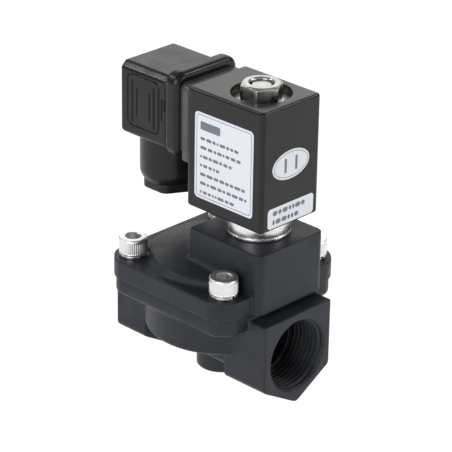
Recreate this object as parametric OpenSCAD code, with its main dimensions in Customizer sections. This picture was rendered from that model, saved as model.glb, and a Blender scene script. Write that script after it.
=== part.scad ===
// Pilot operated two-way solenoid valve with a plastic body, threaded ports,
// an encapsulated coil and a square plug connector.
// Origin: centre of the inlet port's mouth. +X runs with the flow, +Z is up.

/* [Body] */
// Length between the two port faces
body_length = 73; // [72:0.5:75]
// Width of a port across its upright sides
port_width = 32.6; // [31.6:0.2:33]
// Height of a port's flat top above the bore axis
port_top = 16; // [15.4:0.1:16.4]
// Depth of a port's lower ridge below the bore axis
port_bottom = 18.3; // [18:0.1:19]
// Outside radius of the round bowl under the cover
bowl_r = 27; // [26.5:0.1:27.5]
// Length of the inlet's boss
inlet_length = 14.5; // [14.5:0.1:15]
// Length of the outlet's boss
outlet_length = 19.5; // [19:0.1:20]
// Radius of the boss under the bowl
boss_r = 8.7; // [8:0.1:10]
// Height of the joint between body and bonnet above the bore axis
seam_z = 18.5; // [18.4:0.1:18.8]
// Inside radius of the valve seat (half of the orifice)
orifice_r = 10; // [9:0.1:10]

/* [Pipe thread] */
// Radius at the crests of a G 3/4 female thread
thread_r = 12.06; // [12.06]
// Length of the threaded wall in a port
thread_length = 13; // [12:0.5:13]
// Radius of a port's mouth
mouth_r = 13.5; // [13.3:0.1:13.6]

/* [Bonnet] */
// Side of the square flange
flange_size = 59.2; // [58.6:0.1:59.8]
// Corner chamfer of the flange
flange_chamfer = 5.8; // [5.4:0.1:6]
// Thickness of the flange
flange_thick = 7; // [6.8:0.1:7.2]
// Distance between neighbouring cover screws
screw_pitch = 44; // [43.6:0.1:44.4]
// Radius of the round dome at the flange
dome_r = 26.6; // [26:0.1:27]
// Distance from the body's centre to the core tube's axis
tube_offset = 16.7; // [16.5:0.1:17]
// Length of the pilot block along the flow
block_length = 33.6; // [33:0.1:33.8]
// Width of the pilot block
block_width = 32; // [31:0.1:32]
// Height of the pilot block's top above the bore axis
block_top = 41; // [40.8:0.1:41.5]

/* [Coil] */
// Length of the coil housing along the flow
coil_length = 35.3; // [35:0.1:35.6]
// Width of the coil housing
coil_width = 28; // [27.6:0.1:28.4]
// Height of the coil housing
coil_height = 43.5; // [43.2:0.1:43.6]
// Gap between the pilot block and the coil
coil_gap = 6.9; // [6.7:0.1:7.2]
// Distance from the coil housing's centre to the core tube's axis
coil_offset = 3.35; // [3.2:0.05:3.4]

/* [Plug] */
// Width of the plug
plug_width = 27.2; // [27:0.1:28]
// Height of the plug
plug_height = 26.5; // [26:0.1:27]
// Depth of the plug away from the coil
plug_depth = 29.1; // [28.5:0.1:29.4]
// Radius of the cable entry barrel
gland_r = 11.1; // [10.8:0.1:11.2]
// Radius of the hole for the cable
cable_r = 4.5; // [4:0.1:4.6]

/* [Travel] */
// Lift of the plunger
plunger_lift = 1.5; // [1.2:0.1:1.5]
// Lift of the diaphragm
diaphragm_lift = 4.5; // [4:0.1:4.5]

/* [Hidden] */
$fn = 64;
cx = body_length / 2;
tx = cx + tube_offset;
flange_top = seam_z + flange_thick;
ear_size = flange_size - 2;
ear_bottom = 12;
seat_top = 16.7;
seat_wall = 2.25;
chamber_r = 19.5;
chamber_floor = 13;
deep_floor = 1.6;
clamp_r = 24;
diaphragm_t = seam_z - seat_top;
roof_z = 25.2;
spring_roof_z = 27.2;
dome_z = 27.6;
mouth_depth = 0.95;
screw_r = 3;
washer_t = 1.2;
screw_seat = flange_top + washer_t;
head_r = 5;
head_h = 6;
screw_length = 14.5;
tube_in_r = 6;
tube_out_r = 6.4;
tube_bottom = 34;
tube_top = 84;
collar_r = 11.15;
shank_r = 8.9;
pilot_floor = 29.5;
pilot_r = 6.6;
nozzle_top = 31;
nozzle_r = 2.5;
plunger_r = 5.92;
plunger_bottom = 31.8;
plunger_top = 62;
core_bottom = plunger_top + plunger_lift + 0.1;
core_top = 86;
stud_r = 4;
spring_hole_r = 2.5;
spring_foot = 50;
coil_bottom = block_top + coil_gap;
coil_top = coil_bottom + coil_height;
coil_x = tx - coil_offset;
coil_left = coil_x - coil_length / 2;
coil_bore_r = 6.5;
recess_r = 10.3;
yoke_t = 3;
yoke_low = coil_bottom + 1;
yoke_high = coil_top - 3.2 - yoke_t;
yoke_width = 21;
bobbin_low = yoke_low + yoke_t;
bobbin_high = yoke_high;
winding_r = 11.8;
hub_r = 7.7;
cheek_t = 1.4;
nut_washer_t = 0.8;
nut_z = yoke_high + yoke_t + 0.05 + nut_washer_t;
nut_h = 6;
base_t = 3;
gasket_t = 1;
plug_right = coil_left - base_t - gasket_t;
plug_left = plug_right - plug_depth;
plug_z = coil_bottom + 16.8;
plug_mid_z = plug_z + plug_height / 2;
collar_depth = 6.5;
gland_x = plug_left + 11.7;
barrel_bottom = plug_z - 16.7;
barrel_bevel = 2.4;
gland_nut_h = 3.4;
gland_nut_bottom = barrel_bottom - gland_nut_h;
label_t = 0.15;

// ---- shared shapes ----

// Square corners of the cover screws, as directions from the body's centre.
corners = [for (sx = [-1, 1], sy = [-1, 1]) [sx, sy]];

module at_screws() {
    for (c = corners)
        translate([cx + c[0] * screw_pitch / 2, c[1] * screw_pitch / 2, 0])
            children();
}

module rounded_rect(l, w, r) {
    square([l - 2 * r, w], center = true);
    square([l, w - 2 * r], center = true);
    for (sx = [-1, 1], sy = [-1, 1])
        translate([sx * (l / 2 - r), sy * (w / 2 - r)]) circle(r);
}

// Block centred in X and Y, standing on z = 0, with round upright edges.
module upright_block(l, w, h, r) {
    linear_extrude(h) rounded_rect(l, w, r);
}

// Prism along +X from x = 0, its outline given in Y and Z.
module along_x(length) {
    rotate([90, 0, 90]) linear_extrude(length) children();
}

module chamfered_square(size, chamfer) {
    half = size / 2;
    cut = half - chamfer;
    polygon([
        [-cut, -half], [cut, -half], [half, -cut], [half, cut],
        [cut, half], [-cut, half], [-half, cut], [-half, -cut]
    ]);
}

module port_outline(width, top, bottom) {
    half = width / 2;
    shoulder = bottom - half * tan(30);
    polygon([
        [-half, -shoulder], [0, -bottom], [half, -shoulder],
        [half, top], [-half, top]
    ]);
}

// Bore along +X from a port's mouth. Its wall lies at the thread's crests.
module port_bore() {
    rotate([0, 90, 0]) {
        translate([0, 0, -1]) cylinder(r = thread_r, h = 1 + mouth_depth + thread_length);
        rotate_extrude() polygon([
            [0, -1], [mouth_r, -1], [mouth_r, 0], [thread_r, mouth_depth],
            [0, mouth_depth]
        ]);
    }
}

module tube(outer, inner, z0, z1) {
    difference() {
        translate([0, 0, z0]) cylinder(r = outer, h = z1 - z0);
        translate([0, 0, z0 - 1]) cylinder(r = inner, h = z1 - z0 + 2);
    }
}

// Round wire wound as a spring with closed flat-lying ends.
function coil_point(t, r, low, high, turns) =
    [r * cos(360 * turns * t), r * sin(360 * turns * t), low + (high - low) * t];

module spring(r, wire, low, high, turns) {
    sides = 8;
    rings = round(turns * 14);
    points = [
        for (i = [0:rings]) let (
            c = coil_point(i / rings, r, low + wire, high - wire, turns),
            a = 360 * turns * i / rings
        ) for (k = [0:sides - 1]) let (b = 360 * k / sides) [
            c[0] + wire * cos(b) * cos(a),
            c[1] + wire * cos(b) * sin(a),
            c[2] + wire * sin(b)
        ]
    ];
    faces = concat(
        [[for (k = [0:sides - 1]) k]],
        [for (i = [0:rings - 1], k = [0:sides - 1]) [
            i * sides + k, (i + 1) * sides + k,
            (i + 1) * sides + (k + 1) % sides, i * sides + (k + 1) % sides
        ]],
        [[for (k = [sides - 1:-1:0]) rings * sides + k]]
    );
    polyhedron(points, faces, convexity = 4);
}

// ---- body and bonnet ----

module valve_body() {
    color([0.10, 0.11, 0.12]) difference() {
        union() {
            translate([cx, 0, ear_bottom]) linear_extrude(seam_z - ear_bottom)
                chamfered_square(ear_size, flange_chamfer - 1);
            translate([cx, 0, 0.8]) cylinder(r = bowl_r, h = ear_bottom);
            translate([cx, 0, 0]) cylinder(r1 = bowl_r - 0.8, r2 = bowl_r, h = 0.8);
            along_x(inlet_length) port_outline(port_width, port_top, port_bottom);
            translate([body_length - outlet_length, 0, 0])
                along_x(outlet_length) port_outline(port_width, port_top, port_bottom);
            translate([14, 0, 0]) along_x(body_length - 28)
                port_outline(25, 12, 14.5);
            translate([cx, 0, -16.5]) cylinder(r = boss_r, h = 20);
        }
        port_bore();
        translate([body_length, 0, 0]) mirror([1, 0, 0]) port_bore();
        // inlet side: from the thread into the deep part of the chamber
        translate([12, 0, 0]) rotate([0, 90, 0]) cylinder(r = orifice_r, h = 9);
        intersection() {
            translate([cx, 0, 0]) tube(chamber_r, orifice_r + seat_wall, deep_floor, 30);
            translate([cx - 40, -40, deep_floor]) cube([28.5, 80, 40]);
        }
        // ring chamber around the seat
        translate([cx, 0, 0]) tube(chamber_r, orifice_r + seat_wall, chamber_floor, 30);
        // seat bore and the way to the outlet
        translate([cx, 0, 0]) cylinder(r = orifice_r, h = 33);
        translate([cx - orifice_r - 0.3, 0, 0]) rotate([0, 90, 0])
            cylinder(r = orifice_r + 0.2, h = 34.3);
        // recess that clamps the diaphragm
        translate([cx, 0, seat_top]) cylinder(r = clamp_r, h = 10);
        // pilot return, from the bonnet down to the outlet
        translate([cx + 25.8, 0, seam_z + 1]) rotate([0, 203.5, 0])
            cylinder(r = 0.8, h = 14.5, $fn = 32);
        at_screws() translate([0, 0, ear_bottom - 1]) cylinder(r = 4.2, h = 20);
    }
}

module screw_inserts() {
    color([0.78, 0.62, 0.30]) at_screws()
        tube(4.2, screw_r, ear_bottom, seam_z - 0.1);
}

module bonnet() {
    block_x = cx - 0.85;
    color([0.10, 0.11, 0.12]) difference() {
        union() {
            translate([cx, 0, seam_z]) linear_extrude(flange_thick)
                chamfered_square(flange_size, flange_chamfer);
            // dome: short steep wall, then a shallow cone
            translate([cx, 0, flange_top - 0.1]) cylinder(
                r1 = dome_r, r2 = dome_r - 1.6, h = dome_z - flange_top + 0.1, $fn = 96);
            translate([cx, 0, dome_z]) cylinder(
                r1 = dome_r - 1.6, r2 = 13, h = 2.6, $fn = 96);
            translate([block_x + block_length / 2, 0, seam_z])
                upright_block(block_length, block_width, block_top - seam_z, 3);
        }
        // spring chamber over the diaphragm
        translate([cx, 0, seam_z - 1]) cylinder(r = 20.5, h = roof_z - seam_z + 1);
        translate([cx, 0, seam_z]) cylinder(r = 8.2, h = spring_roof_z - seam_z);
        // screw holes and the pockets that clear the heads
        at_screws() translate([0, 0, seam_z - 1]) cylinder(r = 3.3, h = 20);
        at_screws() translate([0, 0, flange_top]) cylinder(r = 5.9, h = 12);
        // bore of the core tube, O-ring seat, pilot chamber
        translate([tx, 0, 33.5]) cylinder(r = shank_r + 0.05, h = 20);
        translate([tx, 0, block_top - 1.7]) cylinder(r = shank_r + 1.2, h = 5);
        translate([tx, 0, pilot_floor]) cylinder(r = pilot_r, h = 10);
        translate([tx, 0, pilot_floor - 3.5]) cylinder(r = nozzle_r, h = 5);
        // pilot supply from the spring chamber
        translate([cx + 11.2, 0, roof_z - 1]) cylinder(r = 0.9, h = 8, $fn = 32);
        // pilot return to the body
        translate([tx, 0, pilot_floor - 2]) rotate([0, 90, 0])
            cylinder(r = 1, h = cx + 25.8 - tx, $fn = 32);
        translate([cx + 25.8, 0, seam_z - 1]) cylinder(r = 0.8, h = 10, $fn = 32);
    }
}

module cover_screws() {
    socket_depth = 3.2;
    color([0.80, 0.80, 0.80]) at_screws() difference() {
        union() {
            translate([0, 0, screw_seat]) cylinder(r = head_r, h = head_h - 0.5);
            translate([0, 0, screw_seat + head_h - 0.5])
                cylinder(r1 = head_r, r2 = head_r - 0.5, h = 0.5);
            translate([0, 0, screw_seat - screw_length])
                cylinder(r = screw_r, h = screw_length + 1);
        }
        translate([0, 0, screw_seat + head_h - socket_depth])
            cylinder(r = 2.9, h = 10, $fn = 6);
    }
}

module screw_washers() {
    color([0.62, 0.62, 0.62]) at_screws() difference() {
        tube(4.9, screw_r + 0.05, flange_top, screw_seat);
        // the cut of the spring washer
        translate([0, -0.4, flange_top - 1]) cube([8, 0.8, 5]);
    }
}

module pilot_seat() {
    color([0.78, 0.62, 0.30]) translate([tx, 0, 0]) difference() {
        union() {
            translate([0, 0, pilot_floor - 1.5]) cylinder(r = nozzle_r, h = 1.5);
            translate([0, 0, pilot_floor])
                cylinder(r1 = nozzle_r, r2 = 1.6, h = nozzle_top - pilot_floor);
        }
        translate([0, 0, pilot_floor - 2]) cylinder(r = 0.8, h = 10, $fn = 32);
    }
}

// ---- core tube ----

module tube_seal() {
    color([0.05, 0.05, 0.05]) translate([tx, 0, block_top - 0.85])
        rotate_extrude() translate([shank_r + 0.62, 0]) circle(0.55, $fn = 24);
}

module tube_collar() {
    color([0.80, 0.80, 0.79]) translate([tx, 0, 0]) difference() {
        union() {
            translate([0, 0, block_top]) cylinder(r = collar_r, h = coil_gap - 0.9);
            translate([0, 0, coil_bottom - 0.9])
                cylinder(r1 = collar_r, r2 = collar_r - 0.7, h = 0.7);
            translate([0, 0, 34]) cylinder(r = shank_r, h = block_top - 34);
        }
        translate([0, 0, 33]) cylinder(r = tube_out_r, h = 20);
    }
}

module core_tube() {
    color([0.70, 0.70, 0.70]) translate([tx, 0, 0])
        tube(tube_out_r, tube_in_r, tube_bottom, tube_top);
}

module fixed_core() {
    color([0.72, 0.72, 0.72]) translate([tx, 0, 0]) difference() {
        union() {
            translate([0, 0, core_bottom]) cylinder(r = tube_in_r, h = core_top - core_bottom);
            translate([0, 0, core_top]) cylinder(r = stud_r, h = nut_z + nut_h - core_top - 0.9);
        }
        tube(4.6, 3.6, core_bottom - 2, core_bottom + 1.2);
    }
}

module shading_ring() {
    color([0.72, 0.40, 0.22]) translate([tx, 0, 0])
        tube(4.6, 3.6, core_bottom, core_bottom + 1.2);
}

module plunger() {
    color([0.66, 0.66, 0.67]) translate([tx, 0, 0]) difference() {
        union() {
            translate([0, 0, plunger_bottom]) cylinder(r1 = 4.6, r2 = plunger_r, h = 1.6);
            translate([0, 0, plunger_bottom + 1.6])
                cylinder(r = plunger_r, h = plunger_top - plunger_bottom - 1.6);
        }
        translate([0, 0, spring_foot]) cylinder(r = spring_hole_r, h = 20);
        translate([0, 0, plunger_bottom - 1]) cylinder(r = 3, h = 3.4);
        // side flats let the fluid past
        for (side = [-1, 1]) translate([side * 7.6 - 2.5, -5, plunger_bottom + 4])
            cube([5, 10, 40]);
    }
}

module plunger_seal() {
    color([0.05, 0.05, 0.06]) translate([tx, 0, 0]) {
        translate([0, 0, nozzle_top]) cylinder(r = 2.8, h = plunger_bottom - nozzle_top);
        translate([0, 0, plunger_bottom]) cylinder(r = 3, h = 2.4);
    }
}

module plunger_spring() {
    color([0.75, 0.75, 0.75]) translate([tx, 0, 0])
        spring(2, 0.25, spring_foot, core_bottom, 9);
}

// ---- diaphragm ----

module diaphragm() {
    color([0.07, 0.07, 0.08]) translate([cx, 0, 0]) difference() {
        union() {
            translate([0, 0, seat_top]) cylinder(r = clamp_r - 0.2, h = diaphragm_t);
            translate([0, 0, seat_top - 0.5]) tube(18.5, 16.5, 0, 0.6);
        }
        translate([0, 0, seat_top - 1]) cylinder(r = 2.6, h = 5);
        // raised side of the rolling convolution
        translate([0, 0, seat_top + diaphragm_t - 0.5]) tube(18.2, 16.8, 0, 2);
        // equalising hole
        translate([-15.8, 0, seat_top - 1]) cylinder(r = 0.5, h = 5, $fn = 24);
    }
}

module diaphragm_plate() {
    color([0.70, 0.70, 0.70]) translate([cx, 0, 0])
        tube(14.5, 2.6, seam_z, seam_z + 1.8);
}

module diaphragm_washer() {
    color([0.70, 0.70, 0.70]) translate([cx, 0, 0])
        tube(8.6, 2.6, seat_top - 1.8, seat_top);
}

module diaphragm_bolt() {
    color([0.76, 0.76, 0.76]) translate([cx, 0, 0]) {
        translate([0, 0, seat_top - 4.8]) cylinder(r = 4.6, h = 3, $fn = 6);
        translate([0, 0, seat_top - 2]) cylinder(r = 2.5, h = seam_z - seat_top + 5.8);
    }
}

module diaphragm_nut() {
    color([0.76, 0.76, 0.76]) translate([cx, 0, seam_z + 1.8]) difference() {
        cylinder(r = 4.6, h = 1.9, $fn = 6);
        translate([0, 0, -1]) cylinder(r = 2.5, h = 5);
    }
}

module main_spring() {
    color([0.75, 0.75, 0.75]) translate([cx, 0, 0])
        spring(7, 0.35, seam_z + 1.8, spring_roof_z, 2.25);
}

// ---- coil ----

module coil_block() {
    intersection() {
        upright_block(coil_length, coil_width, coil_height, 1.5);
        translate([-coil_length / 2, 0, coil_height / 2]) along_x(coil_length)
            rounded_rect(coil_width, coil_height, 1.1);
    }
}

module coil_housing() {
    color([0.10, 0.10, 0.11]) difference() {
        translate([coil_x, 0, coil_bottom]) coil_block();
        // hollow for the yoke and the winding
        translate([tx - 16, -coil_width / 2 + 1.2, yoke_low])
            cube([28.4, coil_width - 2.4, yoke_high + yoke_t - yoke_low]);
        translate([tx, 0, coil_top - 6]) cylinder(r = recess_r, h = 10);
        translate([tx, 0, coil_bottom - 1]) cylinder(r = coil_bore_r, h = 10);
    }
}

module yoke() {
    color([0.78, 0.74, 0.62]) difference() {
        translate([tx - 15.5, -yoke_width / 2, yoke_low])
            cube([27, yoke_width, yoke_high + yoke_t - yoke_low]);
        translate([tx - 12.5, -yoke_width, yoke_low + yoke_t])
            cube([40, 2 * yoke_width, yoke_high - yoke_low - yoke_t]);
        translate([tx, 0, coil_bottom]) cylinder(r = coil_bore_r, h = coil_height);
    }
}

module coil_bobbin() {
    color([0.85, 0.82, 0.74]) translate([tx, 0, 0]) {
        tube(hub_r, coil_bore_r, bobbin_low, bobbin_high);
        tube(winding_r + 0.4, hub_r - 0.5, bobbin_low, bobbin_low + cheek_t);
        tube(winding_r + 0.4, hub_r - 0.5, bobbin_high - cheek_t, bobbin_high);
    }
}

module coil_winding() {
    color([0.72, 0.38, 0.16]) translate([tx, 0, 0])
        tube(winding_r, hub_r, bobbin_low + cheek_t, bobbin_high - cheek_t);
}

module coil_washer() {
    color([0.80, 0.80, 0.80]) translate([tx, 0, 0])
        tube(7.6, stud_r + 0.2, nut_z - nut_washer_t, nut_z);
}

module coil_nut() {
    color([0.82, 0.82, 0.82]) translate([tx, 0, nut_z]) difference() {
        intersection() {
            cylinder(r = 7.5, h = nut_h, $fn = 6);
            // chamfered crown
            union() {
                cylinder(r = 7.5, h = nut_h - 1);
                translate([0, 0, nut_h - 1]) cylinder(r1 = 7.5, r2 = 6.2, h = 1);
            }
        }
        translate([0, 0, -1]) cylinder(r = stud_r, h = 20);
    }
}

module label(l, w) {
    // sheet in X and Z, its outer face toward -Y
    rotate([90, 0, 0]) linear_extrude(label_t) rounded_rect(l, w, 1.5);
}

module type_label() {
    color([0.92, 0.92, 0.93])
        translate([coil_x, -coil_width / 2, coil_bottom + 20.35]) label(27.1, 31.3);
}

module oval_label() {
    color([0.92, 0.92, 0.93])
        translate([coil_x + coil_length / 2, -0.3, coil_bottom + 22.1])
        rotate([0, 90, 0]) linear_extrude(label_t) union() {
            translate([0, -3.55]) circle(5.35);
            translate([0, 3.55]) circle(5.35);
            square([10.7, 7.1], center = true);
        }
}

module lower_label() {
    color([0.92, 0.92, 0.93])
        translate([coil_x + coil_length / 2, 0.2, coil_bottom + 4.65])
        rotate([0, 90, 0]) linear_extrude(label_t) rounded_rect(7.3, 22.2, 1.2);
}

// ---- plug ----

blade_y = 9;
blade_x = [coil_left - 16, coil_left - 1];

module blade_shapes(grow) {
    for (side = [-1, 1])
        translate([blade_x[0], side * blade_y - 0.4 - grow, plug_mid_z - 3.15 - grow])
            cube([blade_x[1] - blade_x[0], 0.8 + 2 * grow, 6.3 + 2 * grow]);
    translate([blade_x[0], -3.15 - grow, plug_mid_z - 9.4 - grow])
        cube([blade_x[1] - blade_x[0], 6.3 + 2 * grow, 0.8 + 2 * grow]);
}

module terminal_base() {
    color([0.10, 0.10, 0.11]) difference() {
        translate([coil_left - base_t, 0, plug_mid_z - 1.6]) along_x(base_t)
            rounded_rect(26.6, 28.2, 2);
        blade_shapes(0);
        translate([coil_left - base_t - 1, 0, plug_mid_z]) rotate([0, 90, 0])
            cylinder(r = 1.5, h = base_t + 0.4, $fn = 32);
    }
}

module terminal_blades() {
    color([0.76, 0.76, 0.74]) blade_shapes(0);
}

module plug_gasket() {
    color([0.06, 0.06, 0.07]) difference() {
        translate([plug_right, 0, plug_mid_z]) along_x(gasket_t)
            rounded_rect(26.2, 25.6, 2.4);
        blade_shapes(0.3);
        translate([plug_right - 1, 0, plug_mid_z]) rotate([0, 90, 0])
            cylinder(r = 2, h = 5, $fn = 32);
    }
}

module plug_housing() {
    wall = 2;
    front_length = plug_depth - collar_depth;
    color([0.12, 0.12, 0.13]) difference() {
        union() {
            translate([plug_left, 0, plug_mid_z]) along_x(front_length)
                rounded_rect(plug_width, plug_height, 2);
            // thicker collar next to the coil
            translate([plug_right - collar_depth, 0, plug_mid_z + 0.5]) along_x(collar_depth)
                rounded_rect(plug_width + 2.4, plug_height + 4.4, 4.5);
            translate([gland_x, 0, barrel_bottom + barrel_bevel])
                cylinder(r = gland_r, h = plug_z - barrel_bottom);
            translate([gland_x, 0, barrel_bottom])
                cylinder(r1 = gland_r - 1.1, r2 = gland_r, h = barrel_bevel);
        }
        // contact space, open toward the coil
        translate([plug_left + 3, 0, plug_mid_z]) along_x(plug_depth)
            rounded_rect(plug_width - 2 * wall, plug_height - 2 * wall, 1.5);
        // cable entry and the seat of the gland
        translate([gland_x, 0, barrel_bottom - 1]) cylinder(r = 7.6, h = 30);
        // screw hole
        translate([plug_left - 1, 0, plug_mid_z]) rotate([0, 90, 0])
            cylinder(r = 1.7, h = 10, $fn = 32);
        translate([plug_left - 1, 0, plug_mid_z]) rotate([0, 90, 0])
            cylinder(r = 3.6, h = 2.4, $fn = 48);
    }
}

module terminal_carrier() {
    carrier_x = plug_right - 15.6;
    color([0.20, 0.20, 0.21]) difference() {
        translate([carrier_x, 0, plug_mid_z]) along_x(15)
            rounded_rect(plug_width - 4.6, plug_height - 4.6, 1.2);
        blade_shapes(0.15);
        translate([carrier_x - 1, 0, plug_mid_z]) rotate([0, 90, 0])
            cylinder(r = 1.8, h = 20, $fn = 32);
    }
}

module plug_screw() {
    color([0.78, 0.78, 0.78]) translate([plug_left, 0, plug_mid_z]) rotate([0, 90, 0])
        difference() {
            union() {
                translate([0, 0, -0.4]) cylinder(r = 2.8, h = 1.4, $fn = 48);
                cylinder(r = 1.5, h = plug_depth + gasket_t + 2, $fn = 32);
            }
            translate([-0.4, -4, -1]) cube([0.8, 8, 1.5]);
        }
}

module screw_seal() {
    color([0.05, 0.05, 0.05]) translate([plug_left + 1.4, 0, plug_mid_z])
        rotate([0, 90, 0]) tube(2.9, 1.6, -0.4, 0);
}

module gland_seal() {
    color([0.07, 0.07, 0.07]) translate([gland_x, 0, 0])
        tube(7.4, cable_r, barrel_bottom + 4, barrel_bottom + 10);
}

module gland_washer() {
    color([0.72, 0.72, 0.72]) translate([gland_x, 0, 0])
        tube(7.4, cable_r, barrel_bottom + 3, barrel_bottom + 4);
}

module gland_nut() {
    color([0.12, 0.12, 0.13]) translate([gland_x, 0, 0]) difference() {
        union() {
            translate([0, 0, gland_nut_bottom]) intersection() {
                cylinder(r = 10.4, h = gland_nut_h - 0.1, $fn = 6);
                cylinder(r = 9.8, h = gland_nut_h - 0.1);
            }
            translate([0, 0, gland_nut_bottom]) cylinder(r = 7.5, h = gland_nut_h + 3);
        }
        translate([0, 0, gland_nut_bottom - 1]) cylinder(r = cable_r, h = 20);
        translate([0, 0, gland_nut_bottom - 0.1]) cylinder(r1 = 6.4, r2 = cable_r, h = 1.8);
    }
}

valve_body();
screw_inserts();
bonnet();
cover_screws();
screw_washers();
pilot_seat();
tube_seal();
tube_collar();
core_tube();
fixed_core();
shading_ring();
plunger();
plunger_seal();
plunger_spring();
diaphragm();
diaphragm_plate();
diaphragm_washer();
diaphragm_bolt();
diaphragm_nut();
main_spring();
coil_housing();
coil_bobbin();
coil_winding();
yoke();
coil_washer();
coil_nut();
terminal_base();
terminal_blades();
type_label();
oval_label();
lower_label();
plug_gasket();
plug_housing();
terminal_carrier();
plug_screw();
screw_seal();
gland_seal();
gland_washer();
gland_nut();
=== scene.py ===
"""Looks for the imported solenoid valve: moulded plastic, steel hardware, coil, plug and labels.

Each visible piece is a distance field in millimetres, turned into a closed mesh.
"""

import math

import bpy
import numpy as np
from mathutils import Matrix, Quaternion, Vector


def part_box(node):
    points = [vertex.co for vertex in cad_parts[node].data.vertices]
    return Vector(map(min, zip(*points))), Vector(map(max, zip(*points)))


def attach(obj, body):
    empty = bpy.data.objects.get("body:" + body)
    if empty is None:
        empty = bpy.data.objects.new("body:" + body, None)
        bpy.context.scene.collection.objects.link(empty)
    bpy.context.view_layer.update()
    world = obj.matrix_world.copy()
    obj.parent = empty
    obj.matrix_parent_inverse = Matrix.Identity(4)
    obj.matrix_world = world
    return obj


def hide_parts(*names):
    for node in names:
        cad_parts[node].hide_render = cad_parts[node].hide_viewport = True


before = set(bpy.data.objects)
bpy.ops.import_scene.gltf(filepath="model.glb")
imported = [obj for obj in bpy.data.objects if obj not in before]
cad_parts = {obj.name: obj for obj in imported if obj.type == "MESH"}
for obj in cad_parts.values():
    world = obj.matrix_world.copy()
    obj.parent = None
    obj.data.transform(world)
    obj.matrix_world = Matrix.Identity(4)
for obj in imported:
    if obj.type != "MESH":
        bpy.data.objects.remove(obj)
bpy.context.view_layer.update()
MM = 0.001


def extent(node):
    """A CAD node's lowest and highest corners, in millimetres."""
    low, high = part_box(node)
    return np.array(low) / MM, np.array(high) / MM


# ---- main places, all from the frame ----

BODY_LOW, BODY_HIGH = extent("valve_body")
BONNET_LOW, BONNET_HIGH = extent("bonnet")
COIL_LOW, COIL_HIGH = extent("coil_housing")
PLUG_LOW, PLUG_HIGH = extent("plug_housing")
NUT_LOW, NUT_HIGH = extent("coil_nut")
WASHER_LOW, WASHER_HIGH = extent("coil_washer")
CORE_LOW, CORE_HIGH = extent("fixed_core")
COLLAR_LOW, COLLAR_HIGH = extent("tube_collar")
SCREWS_LOW, SCREWS_HIGH = extent("cover_screws")
SPRING_WASHERS_LOW, SPRING_WASHERS_HIGH = extent("screw_washers")
PLUG_SCREW_LOW, PLUG_SCREW_HIGH = extent("plug_screw")
GLAND_LOW, GLAND_HIGH = extent("gland_nut")
BASE_LOW, BASE_HIGH = extent("terminal_base")
GASKET_LOW, GASKET_HIGH = extent("plug_gasket")
YOKE_LOW, YOKE_HIGH = extent("yoke")

LENGTH = BODY_HIGH[0] - BODY_LOW[0]
CX = LENGTH / 2
SEAM = BONNET_LOW[2]
FLANGE_HALF = BONNET_HIGH[1]
FLANGE_TOP = SPRING_WASHERS_LOW[2]
BLOCK_TOP = BONNET_HIGH[2]
TUBE_X = (NUT_LOW[0] + NUT_HIGH[0]) / 2
HEAD_R = 5.0
SCREW_OFFSET = SCREWS_HIGH[1] - HEAD_R
SCREW_PLACES = [(sx * SCREW_OFFSET, sy * SCREW_OFFSET) for sx in (-1, 1) for sy in (-1, 1)]
GLAND_X = (GLAND_LOW[0] + GLAND_HIGH[0]) / 2
PLUG_Z = (GASKET_LOW[2] + GASKET_HIGH[2]) / 2


# ---- distance fields: negative inside, in millimetres ----


def join(a, b, fillet=0.0):
    """Both shapes, with a round fillet where they meet."""
    if not fillet:
        return np.minimum(a, b)
    u = np.maximum(fillet - a, 0)
    v = np.maximum(fillet - b, 0)
    return np.maximum(fillet, np.minimum(a, b)) - np.sqrt(u * u + v * v)


def both(a, b, edge=0.0):
    """What the shapes share, with the new edge rounded."""
    if not edge:
        return np.maximum(a, b)
    u = np.maximum(edge + a, 0)
    v = np.maximum(edge + b, 0)
    return np.minimum(-edge, np.maximum(a, b)) + np.sqrt(u * u + v * v)


def cut(a, b, edge=0.0):
    """The first shape without the second."""
    return both(a, -b, edge)


def slab(v, low, high):
    """Everything between two parallel planes."""
    return np.abs(v - (low + high) / 2) - (high - low) / 2


def disc(u, v, r):
    """Round bar; with a radius of zero, the distance from its axis."""
    return np.sqrt(u * u + v * v) - r


def rect(u, v, half_u, half_v, corner):
    """Rounded rectangle about the origin."""
    a = np.abs(u) - half_u + corner
    b = np.abs(v) - half_v + corner
    outside = np.sqrt(np.maximum(a, 0) ** 2 + np.maximum(b, 0) ** 2)
    return outside + np.minimum(np.maximum(a, b), 0) - corner


def chamfered(u, v, half, chamfer, corner):
    """Square with its corners cut off at 45 degrees."""
    side = np.maximum(np.abs(u), np.abs(v)) - half
    slant = (np.abs(u) + np.abs(v) - 2 * half + chamfer) / math.sqrt(2)
    return both(side, slant, corner)


def hexagon(u, v, across, corner=0.0):
    """Six flats, the given distance across, with points along v."""
    shape = np.abs(u)
    for turn in (60, 120):
        a = math.radians(turn)
        flat = np.abs(u * math.cos(a) + v * math.sin(a))
        shape = both(shape - across / 2, flat - across / 2, corner) + across / 2
    return shape - across / 2


def cone(radial, v, r0, v0, r1, v1):
    """Half space under the line from (r0, v0) to (r1, v1) turned about the axis."""
    dr, dv = r1 - r0, v1 - v0
    size = math.hypot(dr, dv)
    return ((radial - r0) * dv - (v - v0) * dr) / size


# ---- fields to meshes ----

CORNERS = np.array([(i, j, k) for i in (0, 1) for j in (0, 1) for k in (0, 1)])
EDGES = [
    (a, b)
    for a in range(8)
    for b in range(a + 1, 8)
    if np.abs(CORNERS[a] - CORNERS[b]).sum() == 1
]


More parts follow.
